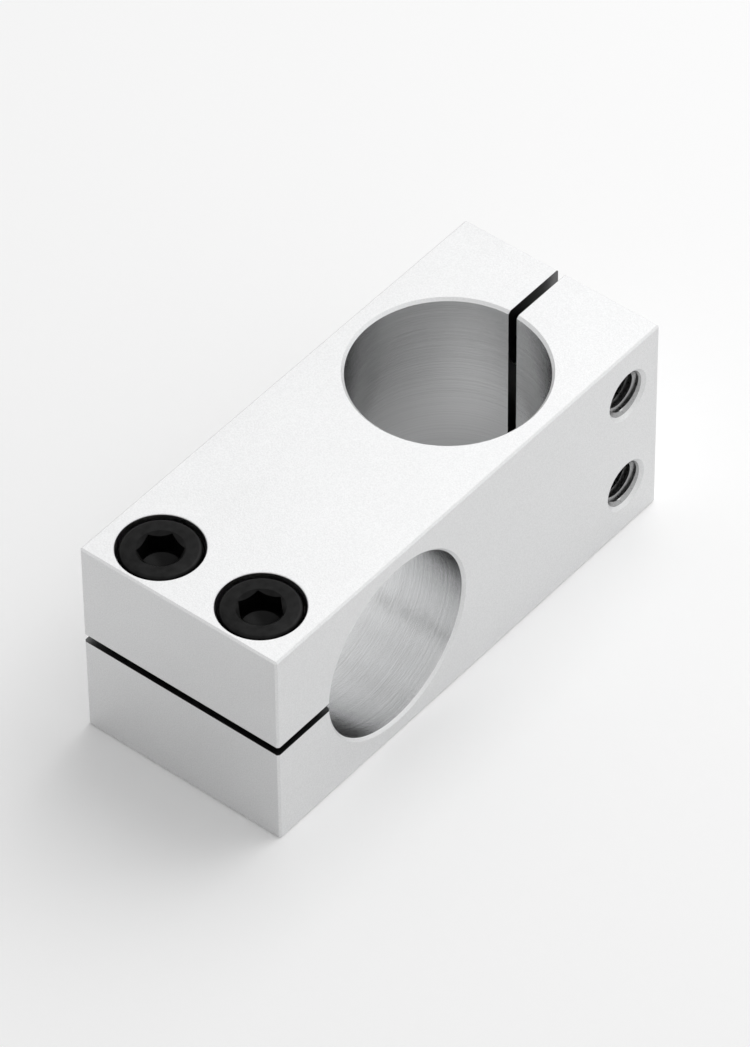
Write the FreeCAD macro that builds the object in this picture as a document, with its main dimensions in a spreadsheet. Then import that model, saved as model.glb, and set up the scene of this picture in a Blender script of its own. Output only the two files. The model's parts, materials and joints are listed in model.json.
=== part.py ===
import FreeCAD, Part
import os
import Sketcher
from FreeCAD import Placement, Rotation, Vector

# Shaft cross clamp: one split block that grips two shafts at right angles, with four socket head cap screws.
# X runs along the block, Z is up, and the origin is at the middle of the block's bottom face.
# The upright bore is at the +X end and the cross bore, along Y, is at the -X end.

# Driving sizes in millimetres: alias, value, meaning
SIZES = [
    ("bore_diameter", 40, "bore for a shaft, the same both ways"),
    ("side_wall", 4, "metal between a bore and the face beside it"),
    ("bore_web", 5, "metal between the two bores"),
    ("slit_width", 2, "saw slit that lets each bore close"),
    ("edge_chamfer", 0.4, "broken outer edges of the block"),
    ("bore_chamfer", 0.6, "chamfer at the mouths of the bores"),
    ("thread_diameter", 10, "screw thread, outside"),
    ("screw_length", 30, "screw length under its head"),
    ("tip_chamfer", 0.9, "chamfer at the tip of a screw"),
    ("head_diameter", 16, "screw head across"),
    ("head_height", 10, "screw head along its axis"),
    ("head_chamfer", 0.8, "chamfer round the top of a screw head"),
    ("socket_width", 8, "hexagon socket across its flats"),
    ("socket_depth", 5, "hexagon socket down to the end of its flats"),
    ("head_recess", 0.3, "depth of a screw head below the face"),
    ("head_clearance", 0.75, "gap round a screw head in its counterbore"),
    ("shank_clearance", 0.25, "gap round a screw in its plain hole"),
    ("thread_clearance", 0.05, "gap round a screw in its threaded hole"),
    ("hole_web", 0.5, "metal between a plain screw hole and the bore"),
    ("end_wall", 1, "metal between a counterbore and the end face"),
    ("corner_wall", 3, "metal between a counterbore and the long edge beside it"),
    ("counterbore_chamfer", 0.15, "broken edge of a counterbore"),
    ("thread_chamfer", 0.75, "countersink at the end of a threaded hole"),
    ("overcut", 1, "length that a cut runs past the face it opens"),
]

# Sizes worked out from the driving ones: alias, formula
DERIVED = [
    ("section", "=sizes.bore_diameter + 2 * sizes.side_wall"),
    ("half_section", "=section / 2"),
    ("bore_radius", "=sizes.bore_diameter / 2"),
    ("thread_radius", "=sizes.thread_diameter / 2"),
    ("head_radius", "=sizes.head_diameter / 2"),
    ("counterbore_radius", "=head_radius + sizes.head_clearance"),
    ("counterbore_floor", "=half_section - sizes.head_height - sizes.head_recess"),
    ("plain_hole_radius", "=thread_radius + sizes.shank_clearance"),
    ("threaded_hole_radius", "=thread_radius + sizes.thread_clearance"),
    ("screw_from_end", "=counterbore_radius + sizes.end_wall"),
    ("bore_from_end", "=screw_from_end + plain_hole_radius + sizes.hole_web + bore_radius"),
    ("half_length", "=bore_from_end + bore_radius + sizes.bore_web / 2"),
    ("bore_from_middle", "=half_length - bore_from_end"),
    ("screw_from_middle", "=half_length - screw_from_end"),
    ("screw_from_centreline", "=half_section - sizes.corner_wall - counterbore_radius"),
    ("socket_corner", "=sizes.socket_width / sqrt(3)"),
    ("socket_flat", "=sizes.socket_width / 2"),
]

ROUND_OFF = 1e-9
FULL_TURN = 360
DRILL_POINT = "tan(30 deg)"

doc = FreeCAD.newDocument("shaft_cross_clamp")


def fill_sheet(name, rows):
    """Add a sheet with one aliased value on each row."""
    sheet = doc.addObject("Spreadsheet::Sheet", name)
    for number, (alias, content, *meaning) in enumerate(rows, start=1):
        sheet.set(f"A{number}", alias)
        sheet.set(f"B{number}", str(content))
        sheet.set(f"C{number}", "".join(meaning))
        sheet.setAlias(f"B{number}", alias)
    doc.recompute()


def new_body(name):
    """Add an empty body whose label is the name of its piece."""
    body = doc.addObject("PartDesign::Body", name)
    body.Label = name
    return body


def new_sketch(body, name, plane, **offsets):
    """Add a sketch on one of the body's origin planes, with its own origin moved by x, y and z."""
    sketch = body.newObject("Sketcher::SketchObject", name)
    support = next(item for item in body.Origin.OriginFeatures if item.Role == plane)
    sketch.AttachmentSupport = [(support, "")]
    sketch.MapMode = "FlatFace"
    for axis, formula in offsets.items():
        sketch.setExpression(f"AttachmentOffset.Base.{axis}", formula)
    doc.recompute()
    return sketch


def outline(sketch, corners):
    """Draw a closed outline of straight lines, each corner held from the sketch's origin by two formulas."""
    places = [tuple(float(sketch.evalExpression(formula)) for formula in corner) for corner in corners]
    count = len(corners)
    for index, (across, up) in enumerate(places):
        following = places[(index + 1) % count]
        start = Vector(across, up, 0)
        end = Vector(following[0], following[1], 0)
        sketch.addGeometry(Part.LineSegment(start, end), False)
    for index in range(count):
        sketch.addConstraint(Sketcher.Constraint("Coincident", index, 2, (index + 1) % count, 1))
    for index, corner in enumerate(corners):
        for kind, axis, formula, place in zip(("DistanceX", "DistanceY"), (-2, -1), corner, places[index]):
            if abs(place) < ROUND_OFF:
                sketch.addConstraint(Sketcher.Constraint("PointOnObject", index, 1, axis))
                continue
            number = sketch.addConstraint(Sketcher.Constraint(kind, -1, 1, index, 1, place))
            sketch.setExpression(f"Constraints[{number}]", formula)
    doc.recompute()
    if not sketch.FullyConstrained:
        raise RuntimeError(f"{sketch.Name} isn't fully constrained")


def rectangle(left, right, bottom, top):
    """Give the corners of an upright rectangle."""
    return [(left, bottom), (right, bottom), (right, top), (left, top)]


def check_cut(body, volume_before):
    """Stop if the newest cut took nothing away."""
    doc.recompute()
    if body.Shape.Volume >= volume_before - ROUND_OFF:
        raise RuntimeError(f"{body.Tip.Name} cuts nothing")


def turn(body, kind, name, sketch):
    """Revolve a sketch about its own vertical axis, as added metal or as a cut."""
    feature = body.newObject(f"PartDesign::{kind}", name)
    feature.Profile = sketch
    feature.ReferenceAxis = (sketch, ["V_Axis"])
    feature.Angle = FULL_TURN
    doc.recompute()
    return feature


def round_cut(body, name, sketch):
    """Cut a turned shape out of the body."""
    volume = body.Shape.Volume
    groove = turn(body, "Groove", name, sketch)
    check_cut(body, volume)
    return groove


def mirror(body, name, original, plane):
    """Repeat a cut on the other side of one of the body's origin planes."""
    volume = body.Shape.Volume
    mirrored = body.newObject("PartDesign::Mirrored", name)
    mirrored.Originals = [original]
    support = next(item for item in body.Origin.OriginFeatures if item.Role == plane)
    mirrored.MirrorPlane = (support, [""])
    body.Tip = mirrored
    check_cut(body, volume)


def bore_profile():
    """Half section of a shaft bore about its axis, right through the block, with chamfered mouths."""
    face = "derived.half_section"
    wall = "derived.bore_radius"
    chamfer_end = f"{face} - sizes.bore_chamfer"
    past_face = f"{face} + sizes.overcut"
    mouth = f"{wall} + sizes.bore_chamfer + sizes.overcut"
    return [
        ("0", f"-({past_face})"),
        (mouth, f"-({past_face})"),
        (wall, f"-({chamfer_end})"),
        (wall, chamfer_end),
        (mouth, past_face),
        ("0", past_face),
    ]


def screw_hole_profile():
    """Half section of a screw hole: counterbore above, plain down to the slit, threaded below it."""
    face = "derived.half_section"
    head = "derived.counterbore_radius"
    plain = "derived.plain_hole_radius"
    threaded = "derived.threaded_hole_radius"
    past_face = f"{face} + sizes.overcut"
    return [
        ("0", f"-({past_face})"),
        (f"{threaded} + sizes.thread_chamfer + sizes.overcut", f"-({past_face})"),
        (threaded, f"-({face} - sizes.thread_chamfer)"),
        (threaded, "0"),
        (plain, "0"),
        (plain, "derived.counterbore_floor"),
        (head, "derived.counterbore_floor"),
        (head, f"{face} - sizes.counterbore_chamfer"),
        (f"{head} + sizes.counterbore_chamfer + sizes.overcut", past_face),
        ("0", past_face),
    ]


def cut_slit(body, name, plane, start, end):
    """Saw a slit of the slit's width right through the block, from start to end along X."""
    volume = body.Shape.Volume
    sketch = new_sketch(body, f"{name}_sketch", plane)
    outline(sketch, rectangle(start, end, "-sizes.slit_width / 2", "sizes.slit_width / 2"))
    pocket = body.newObject("PartDesign::Pocket", name)
    pocket.Profile = sketch
    pocket.Type = "ThroughAll"
    pocket.SideType = "Symmetric"
    check_cut(body, volume)


def make_block():
    """Make the block about its own middle, and stand it on the ground."""
    body = new_body("clamp_block")
    base = new_sketch(body, "block_plan", "XY_Plane")
    length_ends = ("-derived.half_length", "derived.half_length")
    width_ends = ("-derived.half_section", "derived.half_section")
    outline(base, rectangle(*length_ends, *width_ends))
    pad = body.newObject("PartDesign::Pad", "block_blank")
    pad.Profile = base
    pad.SideType = "Symmetric"
    pad.setExpression("Length", "derived.section")
    doc.recompute()
    edges = body.newObject("PartDesign::Chamfer", "broken_edges")
    edges.Base = (pad, [f"Edge{number}" for number in range(1, len(pad.Shape.Edges) + 1)])
    edges.setExpression("Size", "sizes.edge_chamfer")
    doc.recompute()

    upright_bore = new_sketch(body, "upright_bore_section", "XZ_Plane", x="derived.bore_from_middle")
    outline(upright_bore, bore_profile())
    round_cut(body, "upright_bore", upright_bore)
    cross_bore = new_sketch(body, "cross_bore_section", "XY_Plane", x="-derived.bore_from_middle")
    outline(cross_bore, bore_profile())
    round_cut(body, "cross_bore", cross_bore)

    past_end = "derived.half_length + sizes.overcut"
    cut_slit(body, "upright_bore_slit", "XY_Plane", "derived.bore_from_middle", past_end)
    cut_slit(body, "cross_bore_slit", "XZ_Plane", f"-({past_end})", "-derived.bore_from_middle")

    # The XZ plane's own z axis points along -Y
    cross_hole = new_sketch(body, "cross_screw_section", "XZ_Plane",
                            x="-derived.screw_from_middle", z="derived.screw_from_centreline")
    outline(cross_hole, screw_hole_profile())
    cross_cut = round_cut(body, "cross_bore_screw_hole", cross_hole)
    mirror(body, "cross_bore_screw_holes", cross_cut, "XZ_Plane")
    upright_hole = new_sketch(body, "upright_screw_section", "XY_Plane",
                              x="derived.screw_from_middle", z="derived.screw_from_centreline")
    outline(upright_hole, screw_hole_profile())
    upright_cut = round_cut(body, "upright_bore_screw_hole", upright_hole)
    mirror(body, "upright_bore_screw_holes", upright_cut, "XY_Plane")

    body.setExpression("Placement.Base.z", "derived.half_section")
    return body


def screw_profile():
    """Half section of a cap screw about its axis, with the seat of its head at zero."""
    shank = "derived.thread_radius"
    head = "derived.head_radius"
    return [
        ("0", "-sizes.screw_length"),
        (f"{shank} - sizes.tip_chamfer", "-sizes.screw_length"),
        (shank, "-sizes.screw_length + sizes.tip_chamfer"),
        (shank, "0"),
        (head, "0"),
        (head, "sizes.head_height - sizes.head_chamfer"),
        (f"{head} - sizes.head_chamfer", "sizes.head_height"),
        ("0", "sizes.head_height"),
    ]


def cut_cone(body, name, radius, level):
    """Cut a drill point of the given radius, pointing down from the given level."""
    sketch = new_sketch(body, f"{name}_section", "XZ_Plane")
    outline(sketch, [("0", level), (radius, level), ("0", f"{level} - {radius} * {DRILL_POINT}")])
    round_cut(body, name, sketch)


def make_screw(name):
    """Make a socket head cap screw that points down, with the seat of its head at the origin."""
    body = new_body(name)
    section = new_sketch(body, f"{name}_section", "XZ_Plane")
    outline(section, screw_profile())
    turn(body, "Revolution", f"{name}_blank", section)

    volume = body.Shape.Volume
    hexagon = new_sketch(body, f"{name}_hexagon", "XY_Plane", z="sizes.head_height")
    angles = range(0, FULL_TURN, 60)
    outline(hexagon, [(f"derived.socket_corner * cos({angle} deg)",
                       f"derived.socket_corner * sin({angle} deg)") for angle in angles])
    socket = body.newObject("PartDesign::Pocket", f"{name}_socket")
    socket.Profile = hexagon
    socket.setExpression("Length", "sizes.socket_depth")
    check_cut(body, volume)
    cut_cone(body, f"{name}_socket_mouth", "derived.socket_corner", "sizes.head_height")
    cut_cone(body, f"{name}_socket_end", "derived.socket_flat", "(sizes.head_height - sizes.socket_depth)")
    return body


def place(body, rotation, **places):
    """Turn a piece and put its origin at the given x, y and z."""
    body.Placement = Placement(Vector(), rotation)
    for axis, formula in places.items():
        body.setExpression(f"Placement.Base.{axis}", formula)


def make_screws():
    """Make the four screws, each stopped at its own angle, as tightening leaves them."""
    screws = []
    seat = "derived.counterbore_floor"
    aside = "derived.screw_from_centreline"
    for name, side, stopped_at in (("cross_bore_screw_left", "", 12), ("cross_bore_screw_right", "-", 47)):
        screw = make_screw(name)
        place(screw, Rotation(Vector(0, 0, 1), stopped_at), x="-derived.screw_from_middle",
              y=f"{side}{aside}", z=f"derived.half_section + {seat}")
        screws.append(screw)
    head_to_back = Rotation(Vector(1, 0, 0), -90)
    for name, side, stopped_at in (("upright_bore_screw_upper", "+", 25), ("upright_bore_screw_lower", "-", 3)):
        screw = make_screw(name)
        place(screw, head_to_back * Rotation(Vector(0, 0, 1), stopped_at), x="derived.screw_from_middle",
              y=seat, z=f"derived.half_section {side} {aside}")
        screws.append(screw)
    return screws


def check_document(pieces):
    """Stop if anything failed to build."""
    doc.recompute()
    for item in doc.Objects:
        if "Invalid" in item.State or "Error" in item.State:
            raise RuntimeError(f"{item.Name} failed: {item.State}")
    for piece in pieces:
        if piece.Shape.isNull() or not piece.Shape.isValid() or len(piece.Shape.Solids) != 1:
            raise RuntimeError(f"{piece.Label} isn't one sound solid")


fill_sheet("sizes", SIZES)
fill_sheet("derived", DERIVED)
pieces = [make_block()] + make_screws()
check_document(pieces)

os.makedirs("parts", exist_ok=True)
for piece in pieces:
    piece.Shape.exportStep(f"parts/{piece.Label}.step")
    box = piece.Shape.BoundBox
    print(piece.Label, f"{piece.Shape.Volume:.1f} mm3",
          f"{box.XMin:.2f}..{box.XMax:.2f} {box.YMin:.2f}..{box.YMax:.2f} {box.ZMin:.2f}..{box.ZMax:.2f}")
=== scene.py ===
import json
import math

import bmesh
import bpy
from mathutils import Matrix, Vector


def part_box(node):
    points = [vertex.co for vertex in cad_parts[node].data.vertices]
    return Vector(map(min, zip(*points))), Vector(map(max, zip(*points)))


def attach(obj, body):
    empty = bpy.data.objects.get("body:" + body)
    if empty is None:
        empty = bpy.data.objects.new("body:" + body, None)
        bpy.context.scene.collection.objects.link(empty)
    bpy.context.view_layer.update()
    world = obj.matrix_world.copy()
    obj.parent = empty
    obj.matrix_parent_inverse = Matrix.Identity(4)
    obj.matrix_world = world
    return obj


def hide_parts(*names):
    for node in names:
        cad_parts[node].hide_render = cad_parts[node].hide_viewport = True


# Looks of the shaft cross clamp: a blasted and anodised aluminium block with black socket head cap screws.
# Everything is in metres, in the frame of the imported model.

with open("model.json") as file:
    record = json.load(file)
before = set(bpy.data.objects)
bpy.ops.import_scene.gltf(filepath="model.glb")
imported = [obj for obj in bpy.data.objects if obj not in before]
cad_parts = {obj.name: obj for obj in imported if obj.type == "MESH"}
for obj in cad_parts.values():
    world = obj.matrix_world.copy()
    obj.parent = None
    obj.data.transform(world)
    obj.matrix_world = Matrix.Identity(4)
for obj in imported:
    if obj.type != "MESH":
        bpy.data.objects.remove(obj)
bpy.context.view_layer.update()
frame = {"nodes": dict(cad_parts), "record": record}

MM = 0.001
NODES = frame["nodes"]
RECORD = frame["record"]
MOUNTS = {mount["name"]: mount for mount in RECORD["mounts"]}
JOINTS = {joint["child"]: joint for joint in RECORD["behaviour"]["joints"]}
SCREW_NODES = {body: RECORD["behaviour"]["bodies"][body][0] for body in JOINTS}

BLOCK_LOW, BLOCK_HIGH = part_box("clamp_block")
BLOCK_CENTRE = (BLOCK_LOW + BLOCK_HIGH) / 2

# Camera, fitted to the clamp's corners and holes in the photograph
IMAGE_HEIGHT_PX = 1047
PHOTO_FOCAL_PX = 1739
PHOTO_AZIMUTH = math.radians(-50.3)
PHOTO_ELEVATION = math.radians(45.3)
PHOTO_DISTANCE = 1.374
PHOTO_ROLL = math.radians(-0.7)
CLOSER_FRAMING = 4.1
SENSOR = 36.0

# Light: one softbox, and walls whose light fades from their bright side to their dim side
KEY_SIDE = Vector((0.54, -0.10, 0.84)).normalized()
KEY_DISTANCE = 0.9
KEY_SIZE = 0.8
KEY_POWER = 3.4
BRIGHT_SIDE = Vector((0.75, -0.30, 0.58)).normalized()
WALL_LIGHT = (0.0, 0.95)

# Background: a pale floor, and walls that are white to the eye, in metal and through glass
SHOWING_RAYS = ("Is Camera Ray", "Is Glossy Ray", "Is Transmission Ray")
WALL_WHITE = 1.0
FLOOR_REACH = 6.0
FLOOR_GREY = 0.97
FLOOR_ROUGHNESS = 0.9
FLOOR_SPECULAR = 0.0

# Cap screw, with the angle that each one stopped at when it was tightened
STOPPED_AT = {
    "cross_left_screw": math.radians(12),
    "cross_right_screw": math.radians(47),
    "upright_upper_screw": math.radians(25),
    "upright_lower_screw": math.radians(3),
}
THREAD_RADIUS = 5.0 * MM
THREAD_PITCH = 1.5 * MM
THREAD_DEPTH = 0.92 * MM
UNTHREADED_NECK = 3 * THREAD_PITCH
TIP_CHAMFER = 0.95 * MM
NECK_FILLET = 0.4 * MM
SEAT_CHAMFER = 0.35 * MM
HEAD_ROUND = 0.8 * MM
KNURL_RIDGES = 72
KNURL_DEPTH = 0.22 * MM
KNURL_MARGIN = 1.0 * MM
KNURL_FADE = 0.35 * MM
SOCKET_SIDES = 6
SOCKET_WIDTH = 8.0 * MM
SOCKET_DEPTH = 5.0 * MM
SOCKET_MOUTH_RADIUS = 4.8 * MM
SOCKET_DRILL_RADIUS = 3.9 * MM
DRILL_POINT_SLOPE = math.tan(math.radians(30))

# Sections of a thread's pitch: part of the pitch, and share of the full depth there
THREAD_PROFILE = [(0.0, 0.0), (0.125, 0.0), (0.243, 1 / 3), (0.361, 2 / 3),
                  (0.479, 1.0), (0.646, 1.0), (0.764, 2 / 3), (0.882, 1 / 3)]

# Cuts in the block, with the room that the holes leave round the screws
BORES = ("upright_bore", "cross_bore")
SLIT_WIDTH = 2.0 * MM
HEAD_ROOM = 0.75 * MM
THREAD_ROOM = 0.05 * MM
COUNTERSINK_WIDTH = 0.75 * MM
THREADED_HOLE_RADIUS = THREAD_RADIUS + THREAD_ROOM
COUNTERSINK_RADIUS = THREADED_HOLE_RADIUS + COUNTERSINK_WIDTH
SURFACE_SLACK = 0.03 * MM

# Slits: the bore that each one opens, the direction across it, and the way that it runs out of the block
SLITS = [
    ("upright_bore", Vector((0, 1, 0)), Vector((1, 0, 0))),
    ("cross_bore", Vector((0, 0, 1)), Vector((-1, 0, 0))),
]

# Threads that show in the open ends of the tapped holes
TAPPED_END_GAP = 0.3 * MM
TAPPED_ROOT_DEPTH = 0.03 * MM
TAPPED_PROUD = 0.01 * MM
TAPPED_START = math.radians(180)

# Greys of the surfaces, or their dark and bright ends, before the faint blue of bare metal
BLASTED_GREYS = (0.685, 0.785)
# The upright bore's greys are lower than the cross bore's as painted shade: both bores have the same
# turned finish
BORE_GREYS_WITH_PAINTED_SHADE = {"upright_bore": (0.70, 0.77), "cross_bore": (0.83, 0.90)}
# Slit walls: a near-black grey that paints the shade inside the narrow slits
SLIT_PAINTED_SHADE_GREY = 0.10
# Screw holes and counterbores: a darker grey than bare metal, painted shade in these recesses
HOLE_PAINTED_SHADE_GREY = 0.45
# Tapped threads: dark greys that paint the shade inside the tapped holes
THREAD_PAINTED_SHADE_GREYS = (0.30, 0.38)
OXIDE_GREYS = (0.004, 0.010)
METAL_TINT = (1.0, 1.004, 1.008)

# Roughness of the surfaces, or their smoothest and roughest ends
BLASTED_ROUGHNESS = (0.42, 0.48)
TURNED_ROUGHNESS = (0.14, 0.22)
DRILLED_ROUGHNESS = 0.34
CUT_THREAD_ROUGHNESS = (0.26, 0.34)
OXIDE_ROUGHNESS = (0.28, 0.42)

# Share of bare metal in the look: the anodised skin and the black oxide scatter the rest
BARE_METAL = 1.0
BLASTED_METAL = 0.65
OXIDE_METAL = 0.75
OXIDE_SPECULAR = 0.3

# Sizes of surface textures, and their heights in millimetres
BLAST_SIZE = 0.28 * MM
BLAST_HEIGHT = 0.042
CLOUD_SIZE = 14 * MM
SAWN_SIZE = 0.12 * MM
SAWN_STRETCH = (60, 1, 1)
SAWN_HEIGHT = 0.02
OXIDE_CLOUD_SIZE = 1.6 * MM
THREAD_CLOUD_SIZE = 0.8 * MM
FINE_GRAIN_SIZE = 0.12 * MM
FINE_GRAIN_HEIGHT = 0.006

# Share of the blasted grain, beside the broad clouds, in the block's colour
GRAIN_SHARE = 0.85

# Turned marks in the bores: width of grooves and of the rings they make, and their length in widths
GROOVE_WIDTH = 0.08 * MM
RING_WIDTH = 0.45 * MM
TURNED_STRETCH = 500
TURNED_HEIGHT = 0.022

# Noise textures: their usual range, and how many finer layers each kind has
NOISE_RANGE = (0.3, 0.7)
MARK_DETAIL = 1.0
SOFT_DETAIL = 2.0
FINE_DETAIL = 3.0

# Range of how far a direction faces another one
FACING_RANGE = (-1.0, 1.0)

# Places of a Mix node's sockets: factor, first value, second value and result
MIX_SOCKETS = {"FLOAT": (0, 2, 3, 0), "RGBA": (0, 6, 7, 2)}

# Mesh steps
SHANK_STEPS = 96
HEAD_STEPS = 3 * SHANK_STEPS
ROUND_STEPS = 5
MERGE_DISTANCE = 0.0005 * MM
SHARP_ANGLE = math.radians(28)


class Graph:
    """The node tree of a material or a world, with short forms for the nodes that it uses."""

    def __init__(self, owner, shader, place):
        """Take the owner of the tree, the name of its shader and the kind of texture coordinates."""
        owner.use_nodes = True
        self.owner = owner
        self.tree = owner.node_tree
        self.shader = self.tree.nodes[shader]
        self.place = self.add("ShaderNodeTexCoord").outputs[place]

    def add(self, kind, **settings):
        """Add a node, and set its properties."""
        made = self.tree.nodes.new(kind)
        for key, value in settings.items():
            setattr(made, key, value)
        return made

    def feed(self, socket, value):
        """Link an output to a socket, or set the socket to a plain value."""
        if isinstance(value, bpy.types.NodeSocket):
            self.tree.links.new(value, socket)
        else:
            socket.default_value = value

    def set_shader(self, name, value):
        """Feed one of the shader's sockets."""
        self.feed(self.shader.inputs[name], value)

    def math(self, operation, first, second=0.0):
        """Do one step of arithmetic."""
        made = self.add("ShaderNodeMath", operation=operation)
        self.feed(made.inputs[0], first)
        self.feed(made.inputs[1], second)
        return made.outputs[0]

    def either(self, masks):
        """1 where any of the masks is."""
        joined = masks[0]
        for mask in masks[1:]:
            joined = self.math("MAXIMUM", joined, mask)
        return joined

    def near_axis(self, point, axis, radius):
        """1 within a radius of a line along X, Y or Z, 0 elsewhere."""
        across = [1 - abs(part) for part in axis]
        flat = self.add("ShaderNodeVectorMath", operation="MULTIPLY")
        self.feed(flat.inputs[0], self.place)
        self.feed(flat.inputs[1], across)
        distance = self.add("ShaderNodeVectorMath", operation="DISTANCE")
        self.feed(distance.inputs[0], flat.outputs["Vector"])
        self.feed(distance.inputs[1], [part * keep for part, keep in zip(point, across)])
        return self.math("LESS_THAN", distance.outputs["Value"], radius)

    def along(self, direction):
        """How far the place lies along a direction."""
        made = self.add("ShaderNodeVectorMath", operation="DOT_PRODUCT")
        self.feed(made.inputs[0], self.place)
        self.feed(made.inputs[1], direction)
        return made.outputs["Value"]

    def noise(self, size, detail=SOFT_DETAIL, stretch=(1, 1, 1)):
        """Noise with features of about one size, longer where stretch is more than 1."""
        scaled = self.add("ShaderNodeVectorMath", operation="DIVIDE")
        self.feed(scaled.inputs[0], self.place)
        self.feed(scaled.inputs[1], [size * part for part in stretch])
        made = self.add("ShaderNodeTexNoise")
        self.feed(made.inputs["Vector"], scaled.outputs["Vector"])
        made.inputs["Scale"].default_value = 1.0
        made.inputs["Detail"].default_value = detail
        return made.outputs["Fac"]

    def spread(self, value, ends=(0.0, 1.0), usual=NOISE_RANGE):
        """Take a value's usual range to two ends."""
        made = self.add("ShaderNodeMapRange")
        self.feed(made.inputs["Value"], value)
        made.inputs["From Min"].default_value, made.inputs["From Max"].default_value = usual
        made.inputs["To Min"].default_value, made.inputs["To Max"].default_value = ends
        return made.outputs["Result"]

    def mix(self, factor, first, second, kind="FLOAT"):
        """Go from one value to another by a factor: numbers, or colours where the kind is RGBA."""
        made = self.add("ShaderNodeMix", data_type=kind)
        *places, result = MIX_SOCKETS[kind]
        for place, value in zip(places, (factor, first, second)):
            self.feed(made.inputs[place], value)
        return made.outputs[result]

    def tint(self, factor, first, second):
        """Go from one colour to another by a factor."""
        return self.mix(factor, first, second, "RGBA")

    def metals(self, factor, greys):
        """Go from a dark metal to a bright one by a factor."""
        dark, bright = greys
        return self.tint(factor, metal(dark), metal(bright))

    def bump(self, height):
        """Raise the surface by a height in millimetres."""
        made = self.add("ShaderNodeBump")
        self.feed(made.inputs["Height"], height)
        made.inputs["Distance"].default_value = MM
        self.set_shader("Normal", made.outputs["Normal"])


def metal(grey):
    """The colour of a grey metal."""
    return [grey * part for part in METAL_TINT] + [1]


def new_surface(name):
    """The graph of a new material, in the coordinates of the frame."""
    return Graph(bpy.data.materials.new(name), "Principled BSDF", "Object")


def head_radius(body):
    """Radius of a screw's head: half of its box along X, which is across every screw."""
    low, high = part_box(SCREW_NODES[body])
    return (high.x - low.x) / 2


def bore_masks(graph):
    """The walls of the two bores."""
    masks = []
    for name in BORES:
        mount = MOUNTS[name]
        radius = mount["dims"]["r_mm"] * MM + SURFACE_SLACK
        masks.append(graph.near_axis(mount["pos_m"], mount["axis"], radius))
    return masks


def slit_mask(graph):
    """The sawn walls of the two slits."""
    reach = SLIT_WIDTH / 2 + SURFACE_SLACK
    masks = []
    for name, across, outward in SLITS:
        bore = Vector(MOUNTS[name]["pos_m"])
        offset = graph.math("SUBTRACT", graph.along(across), bore.dot(across))
        inside = graph.math("LESS_THAN", graph.math("ABSOLUTE", offset), reach)
        beyond = graph.math("GREATER_THAN", graph.along(outward), bore.dot(outward))
        masks.append(graph.math("MULTIPLY", inside, beyond))
    return graph.either(masks)


def hole_mask(graph):
    """The drilled walls of the screw holes, and the counterbores above their seats."""
    masks = []
    for body, joint in JOINTS.items():
        seat = Vector(joint["pos_m"])
        axis = Vector(joint["axis"])
        masks.append(graph.near_axis(seat, axis, THREADED_HOLE_RADIUS + SURFACE_SLACK))
        wide = graph.near_axis(seat, axis, head_radius(body) + HEAD_ROOM + SURFACE_SLACK)
        above = graph.math("GREATER_THAN", graph.along(axis), seat.dot(axis) - SURFACE_SLACK)
        masks.append(graph.math("MULTIPLY", wide, above))
    return graph.either(masks)


def turned_marks(graph, size, in_upright):
    """Marks of one width that run round each bore."""
    marks = []
    for name in BORES:
        stretch = [1 if part else TURNED_STRETCH for part in MOUNTS[name]["axis"]]
        marks.append(graph.noise(size, MARK_DETAIL, stretch))
    upright, cross = marks
    return graph.mix(in_upright, cross, upright)


def make_aluminium():
    """Blasted and clear anodised outside, with turned bores, sawn slits and drilled holes."""
    graph = new_surface("anodised_aluminium")
    in_upright, in_cross = bore_masks(graph)
    in_bore = graph.either([in_upright, in_cross])
    in_slit = slit_mask(graph)
    in_hole = hole_mask(graph)
    in_slit_or_hole = graph.either([in_slit, in_hole])

    blast = graph.noise(BLAST_SIZE, FINE_DETAIL)
    cloud = graph.noise(CLOUD_SIZE)
    sawn_marks = graph.noise(SAWN_SIZE, MARK_DETAIL, SAWN_STRETCH)
    grooves = turned_marks(graph, GROOVE_WIDTH, in_upright)
    rings = turned_marks(graph, RING_WIDTH, in_upright)

    shade = graph.mix(GRAIN_SHARE, graph.spread(cloud), graph.spread(blast))
    shine = graph.spread(rings)
    # The upright bore gets the darker greys: painted shade on a bore of the same finish as the cross bore
    upright_bore_painted_shade, turned_cross = [graph.metals(shine, BORE_GREYS_WITH_PAINTED_SHADE[name]) for name in BORES]
    turned = graph.tint(in_upright, turned_cross, upright_bore_painted_shade)
    colour = graph.metals(shade, BLASTED_GREYS)
    colour = graph.tint(in_bore, colour, turned)
    # Painted shade: the slit walls are coloured near black
    colour = graph.tint(in_slit, colour, metal(SLIT_PAINTED_SHADE_GREY))
    # Painted shade: the screw holes and counterbores are coloured darker than bare metal
    colour = graph.tint(in_hole, colour, metal(HOLE_PAINTED_SHADE_GREY))
    graph.set_shader("Base Color", colour)

    roughness = graph.spread(cloud, BLASTED_ROUGHNESS)
    roughness = graph.mix(in_bore, roughness, graph.spread(rings, TURNED_ROUGHNESS))
    roughness = graph.mix(in_slit_or_hole, roughness, DRILLED_ROUGHNESS)
    graph.set_shader("Roughness", roughness)

    bare = graph.either([in_bore, in_slit_or_hole])
    graph.set_shader("Metallic", graph.mix(bare, BLASTED_METAL, BARE_METAL))

    height = graph.math("MULTIPLY", blast, BLAST_HEIGHT)
    height = graph.mix(in_bore, height, graph.math("MULTIPLY", grooves, TURNED_HEIGHT))
    height = graph.mix(in_slit, height, graph.math("MULTIPLY", sawn_marks, SAWN_HEIGHT))
    graph.bump(height)
    return graph.owner


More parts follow.
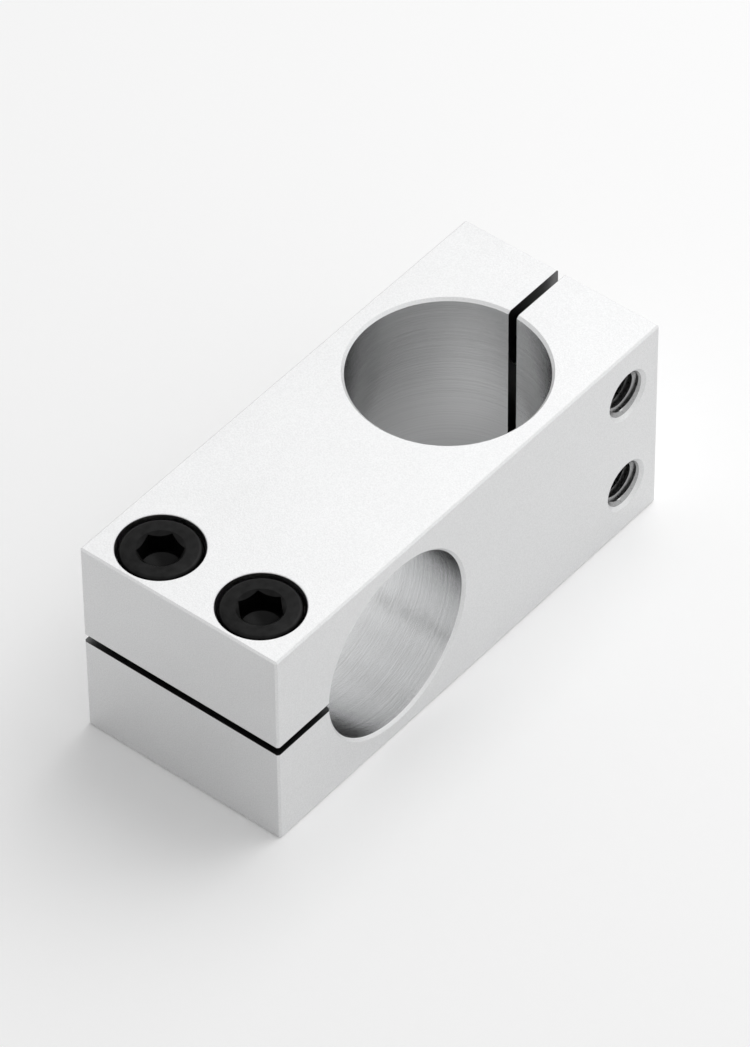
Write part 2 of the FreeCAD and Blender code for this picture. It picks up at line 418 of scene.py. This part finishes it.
def make_cut_aluminium():
    """Cut threads, coloured dark grey as painted shade inside the tapped holes."""
    graph = new_surface("cut_aluminium")
    cloud = graph.noise(THREAD_CLOUD_SIZE)
    grain = graph.noise(FINE_GRAIN_SIZE)
    graph.set_shader("Base Color", graph.metals(graph.spread(cloud), THREAD_PAINTED_SHADE_GREYS))
    graph.set_shader("Roughness", graph.spread(cloud, CUT_THREAD_ROUGHNESS))
    graph.set_shader("Metallic", BARE_METAL)
    graph.bump(graph.math("MULTIPLY", grain, FINE_GRAIN_HEIGHT))
    return graph.owner


def make_black_oxide():
    """Black oxide on steel, a little uneven and lightly oiled."""
    graph = new_surface("black_oxide")
    cloud = graph.noise(OXIDE_CLOUD_SIZE, FINE_DETAIL)
    grain = graph.noise(FINE_GRAIN_SIZE)
    graph.set_shader("Base Color", graph.metals(graph.spread(cloud), OXIDE_GREYS))
    graph.set_shader("Roughness", graph.spread(cloud, OXIDE_ROUGHNESS))
    graph.set_shader("Metallic", OXIDE_METAL)
    graph.set_shader("Specular IOR Level", OXIDE_SPECULAR)
    graph.bump(graph.math("MULTIPLY", grain, FINE_GRAIN_HEIGHT))
    return graph.owner


def add_object(name, data):
    """Add an object to the scene."""
    made = bpy.data.objects.new(name, data)
    bpy.context.scene.collection.objects.link(made)
    return made


def round_axis(radius, angle, height):
    """The place at a radius, an angle and a height round the Z axis."""
    return radius * math.cos(angle), radius * math.sin(angle), height


def circle(shell, steps, radius, height):
    """Add a ring of vertices. The radius and the height are numbers, or functions of the angle."""
    ring = []
    for step in range(steps):
        angle = 2 * math.pi * step / steps
        across = radius(angle) if callable(radius) else radius
        up = height(angle) if callable(height) else height
        ring.append(shell.verts.new(round_axis(across, angle, up)))
    return ring


def quarter_turn():
    """Angles along a rounded edge."""
    return [math.pi / 2 * step / ROUND_STEPS for step in range(ROUND_STEPS + 1)]


def bridge(shell, first, second):
    """Join two rings that have the same count."""
    for index in range(len(first)):
        after = (index + 1) % len(first)
        shell.faces.new((first[index], first[after], second[after], second[index]))


def bridge_finer(shell, coarse, fine):
    """Join a ring to a finer one round it, with one face to each coarse step."""
    ratio = len(fine) // len(coarse)
    for index in range(len(coarse)):
        after = (index + 1) % len(coarse)
        span = [fine[(index * ratio + part) % len(fine)] for part in range(ratio + 1)]
        shell.faces.new([coarse[after], coarse[index]] + span)


def close(shell, ring, height):
    """Close a ring with a fan to a point on the axis."""
    tip = shell.verts.new((0, 0, height))
    for index in range(len(ring)):
        shell.faces.new((ring[index], ring[(index + 1) % len(ring)], tip))


def helical_wall(shell, low, high, radius_at):
    """Add a threaded wall between two heights.

    radius_at takes a height and the share of the thread's depth there.
    """
    turns = math.ceil((high - low) / THREAD_PITCH) + 2
    rows = []
    for turn in range(turns):
        rows += [((turn - 1 + part) * THREAD_PITCH, depth) for part, depth in THREAD_PROFILE]
    columns = []
    for step in range(SHANK_STEPS):
        angle = 2 * math.pi * step / SHANK_STEPS
        column = []
        for rise, depth in rows:
            height = min(max(low + rise + THREAD_PITCH * step / SHANK_STEPS, low), high)
            column.append(shell.verts.new(round_axis(radius_at(height, depth), angle, height)))
        columns.append(column)
    turn_shift = len(THREAD_PROFILE)
    last = len(rows) - 1
    columns.append([columns[0][min(row + turn_shift, last)] for row in range(len(rows))])
    for first, second in zip(columns, columns[1:]):
        for row in range(last):
            corners = (first[row], second[row], second[row + 1], first[row + 1])
            if len(set(corners)) == len(corners):
                shell.faces.new(corners)


def finish_piece(shell, name, material):
    """Merge what meets, and make an object with smooth faces and crisp edges."""
    bmesh.ops.remove_doubles(shell, verts=shell.verts, dist=MERGE_DISTANCE)
    bmesh.ops.dissolve_degenerate(shell, edges=shell.edges, dist=MERGE_DISTANCE)
    bmesh.ops.recalc_face_normals(shell, faces=shell.faces)
    mesh = bpy.data.meshes.new(name)
    shell.to_mesh(mesh)
    shell.free()
    mesh.shade_smooth()
    mesh.set_sharp_from_angle(angle=SHARP_ANGLE)
    mesh.materials.append(material)
    return add_object(name, mesh)


def hexagon(angle):
    """Distance from the axis to the socket's flats at an angle."""
    side = 2 * math.pi / SOCKET_SIDES
    from_flat = angle % side - side / 2
    return SOCKET_WIDTH / 2 / math.cos(from_flat)


def knurl(radius, angle):
    """Radius of the knurled side at an angle: straight V grooves."""
    part = angle * KNURL_RIDGES / (2 * math.pi) % 1.0
    return radius - KNURL_DEPTH * (1 - abs(2 * part - 1))


def add_shank(shell, length):
    """Tip, thread and neck, up to the seat under the head. Gives the ring at the seat."""
    root = -length
    neck = -UNTHREADED_NECK
    tip_radius = THREAD_RADIUS - TIP_CHAMFER

    def radius_at(height, depth):
        full = min(1.0, (neck - height) / THREAD_PITCH)
        return min(THREAD_RADIUS - THREAD_DEPTH * depth * full, tip_radius + height - root)

    helical_wall(shell, root, neck, radius_at)
    close(shell, circle(shell, SHANK_STEPS, tip_radius, root), root)
    ring = circle(shell, SHANK_STEPS, THREAD_RADIUS, neck)
    for angle in quarter_turn():
        radius = THREAD_RADIUS + NECK_FILLET * (1 - math.cos(angle))
        above = circle(shell, SHANK_STEPS, radius, -NECK_FILLET * (1 - math.sin(angle)))
        bridge(shell, ring, above)
        ring = above
    return ring


def add_head(shell, seat_ring, radius, height):
    """Knurled head with a hexagon socket that ends in a drill point."""
    knurl_low = KNURL_MARGIN
    knurl_high = height - HEAD_ROUND - KNURL_FADE - SEAT_CHAMFER

    def knurled(angle):
        return knurl(radius, angle)

    def socket_mouth(angle):
        return height - SOCKET_MOUTH_RADIUS + hexagon(angle)

    levels = [
        (radius - SEAT_CHAMFER, 0.0),
        (radius, SEAT_CHAMFER),
        (radius, knurl_low),
        (knurled, knurl_low + KNURL_FADE),
        (knurled, knurl_high),
        (radius, knurl_high + KNURL_FADE),
    ]
    for angle in quarter_turn():
        inset = HEAD_ROUND * (1 - math.cos(angle))
        drop = HEAD_ROUND * (1 - math.sin(angle))
        levels.append((radius - inset, height - drop))
    levels += [
        (SOCKET_MOUTH_RADIUS, height),
        (hexagon, socket_mouth),
        (hexagon, height - SOCKET_DEPTH),
        (SOCKET_DRILL_RADIUS, height - SOCKET_DEPTH),
    ]
    rings = [circle(shell, HEAD_STEPS, across, up) for across, up in levels]
    bridge_finer(shell, seat_ring, rings[0])
    for first, second in zip(rings, rings[1:]):
        bridge(shell, first, second)
    close(shell, rings[-1], height - SOCKET_DEPTH - SOCKET_DRILL_RADIUS * DRILL_POINT_SLOPE)


def screw_place(joint):
    """Where a screw's own frame is, with its origin on the seat and +Z out of the head."""
    turn = Vector((0, 0, 1)).rotation_difference(Vector(joint["axis"])).to_matrix().to_4x4()
    return Matrix.Translation(joint["pos_m"]) @ turn


def along_axis(box, joint):
    """Where the two corners of a box are along a joint's axis, from the joint."""
    axis = Vector(joint["axis"])
    seat = Vector(joint["pos_m"]).dot(axis)
    return box[0].dot(axis) - seat, box[1].dot(axis) - seat


def make_screw(body, material):
    """A cap screw in place of its plain CAD node."""
    joint = JOINTS[body]
    node = SCREW_NODES[body]
    low, high = along_axis(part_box(node), joint)
    shell = bmesh.new()
    seat_ring = add_shank(shell, -low)
    add_head(shell, seat_ring, head_radius(body), high)
    shell.transform(Matrix.Rotation(STOPPED_AT[body], 4, "Z"))
    piece = finish_piece(shell, node + "_detailed", material)
    piece.matrix_world = screw_place(joint)
    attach(piece, body)
    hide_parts(node)


def make_tapped_thread(body, material):
    """The thread that shows in the open end of a tapped hole, past the tip of its screw."""
    joint = JOINTS[body]
    tip = along_axis(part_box(SCREW_NODES[body]), joint)[0]
    face = along_axis((BLOCK_LOW, BLOCK_HIGH), joint)[0]
    outer = THREADED_HOLE_RADIUS + TAPPED_ROOT_DEPTH
    low = face + COUNTERSINK_RADIUS - TAPPED_PROUD - outer
    high = tip - TAPPED_END_GAP

    def radius_at(height, depth):
        opened = max(outer - (height - low), outer - (high - height))
        return min(max(THREAD_RADIUS - THREAD_DEPTH * depth, opened), outer)

    shell = bmesh.new()
    helical_wall(shell, low, high, radius_at)
    bridge(shell, circle(shell, SHANK_STEPS, outer, high), circle(shell, SHANK_STEPS, outer, low))
    shell.transform(Matrix.Rotation(TAPPED_START, 4, "Z"))
    piece = finish_piece(shell, body.replace("screw", "tapped_thread"), material)
    piece.matrix_world = screw_place(joint)
    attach(piece, "block")


def dress(name, material):
    """Give a CAD node its material."""
    slots = NODES[name].data.materials
    slots.clear()
    slots.append(material)


def make_floor():
    """A wide pale floor that the clamp stands on."""
    mesh = bpy.data.meshes.new("floor")
    corners = [(x * FLOOR_REACH, y * FLOOR_REACH, 0) for x, y in ((-1, -1), (1, -1), (1, 1), (-1, 1))]
    mesh.from_pydata(corners, [], [(0, 1, 2, 3)])
    floor = add_object("floor", mesh)
    material = bpy.data.materials.new("pale_floor")
    material.use_nodes = True
    shader = material.node_tree.nodes["Principled BSDF"]
    shader.inputs["Base Color"].default_value = (FLOOR_GREY, FLOOR_GREY, FLOOR_GREY, 1)
    shader.inputs["Roughness"].default_value = FLOOR_ROUGHNESS
    shader.inputs["Specular IOR Level"].default_value = FLOOR_SPECULAR
    mesh.materials.append(material)


def make_world():
    """Studio walls: white where they show, with a light that fades from the key's side to the other."""
    world = bpy.data.worlds.new("studio")
    bpy.context.scene.world = world
    graph = Graph(world, "Background", "Generated")
    # Without sampling of its own, the world is met only by rays that know which kind they are
    world.cycles.sampling_method = "NONE"
    path = graph.add("ShaderNodeLightPath")
    showing = graph.either([path.outputs[ray] for ray in SHOWING_RAYS])
    lit = graph.spread(graph.along(BRIGHT_SIDE), WALL_LIGHT, FACING_RANGE)
    graph.set_shader("Color", (1, 1, 1, 1))
    graph.set_shader("Strength", graph.mix(showing, lit, WALL_WHITE))


def aim(thing, side, distance, roll=0.0):
    """Put a lamp or a camera on one side of the clamp, so that it looks at the clamp."""
    thing.location = BLOCK_CENTRE + side * distance
    turn = (-side).to_track_quat("-Z", "Y")
    thing.rotation_mode = "QUATERNION"
    thing.rotation_quaternion = turn @ Matrix.Rotation(roll, 3, "Z").to_quaternion()


def make_key_light():
    """A square softbox above the clamp."""
    data = bpy.data.lights.new("key", "AREA")
    data.shape = "SQUARE"
    data.size = KEY_SIZE
    data.energy = KEY_POWER
    aim(add_object("key", data), KEY_SIDE, KEY_DISTANCE)


def make_camera():
    """Look from the photograph's angle and distance, framed on the clamp."""
    data = bpy.data.cameras.new("camera")
    # The sensor's width goes with the longer side of the image, which is its height
    data.sensor_width = SENSOR
    data.lens = SENSOR * PHOTO_FOCAL_PX * CLOSER_FRAMING / IMAGE_HEIGHT_PX
    camera = add_object("camera", data)
    level = math.cos(PHOTO_ELEVATION)
    across = math.sin(PHOTO_AZIMUTH) * level
    back = -math.cos(PHOTO_AZIMUTH) * level
    aim(camera, Vector((across, back, math.sin(PHOTO_ELEVATION))), PHOTO_DISTANCE, PHOTO_ROLL)
    bpy.context.scene.camera = camera


aluminium = make_aluminium()
cut_aluminium = make_cut_aluminium()
black_oxide = make_black_oxide()
dress("clamp_block", aluminium)
for body, node in SCREW_NODES.items():
    dress(node, black_oxide)
    make_screw(body, black_oxide)
    make_tapped_thread(body, cut_aluminium)
make_floor()
make_world()
make_key_light()
make_camera()
bpy.context.scene.view_settings.view_transform = "Standard"
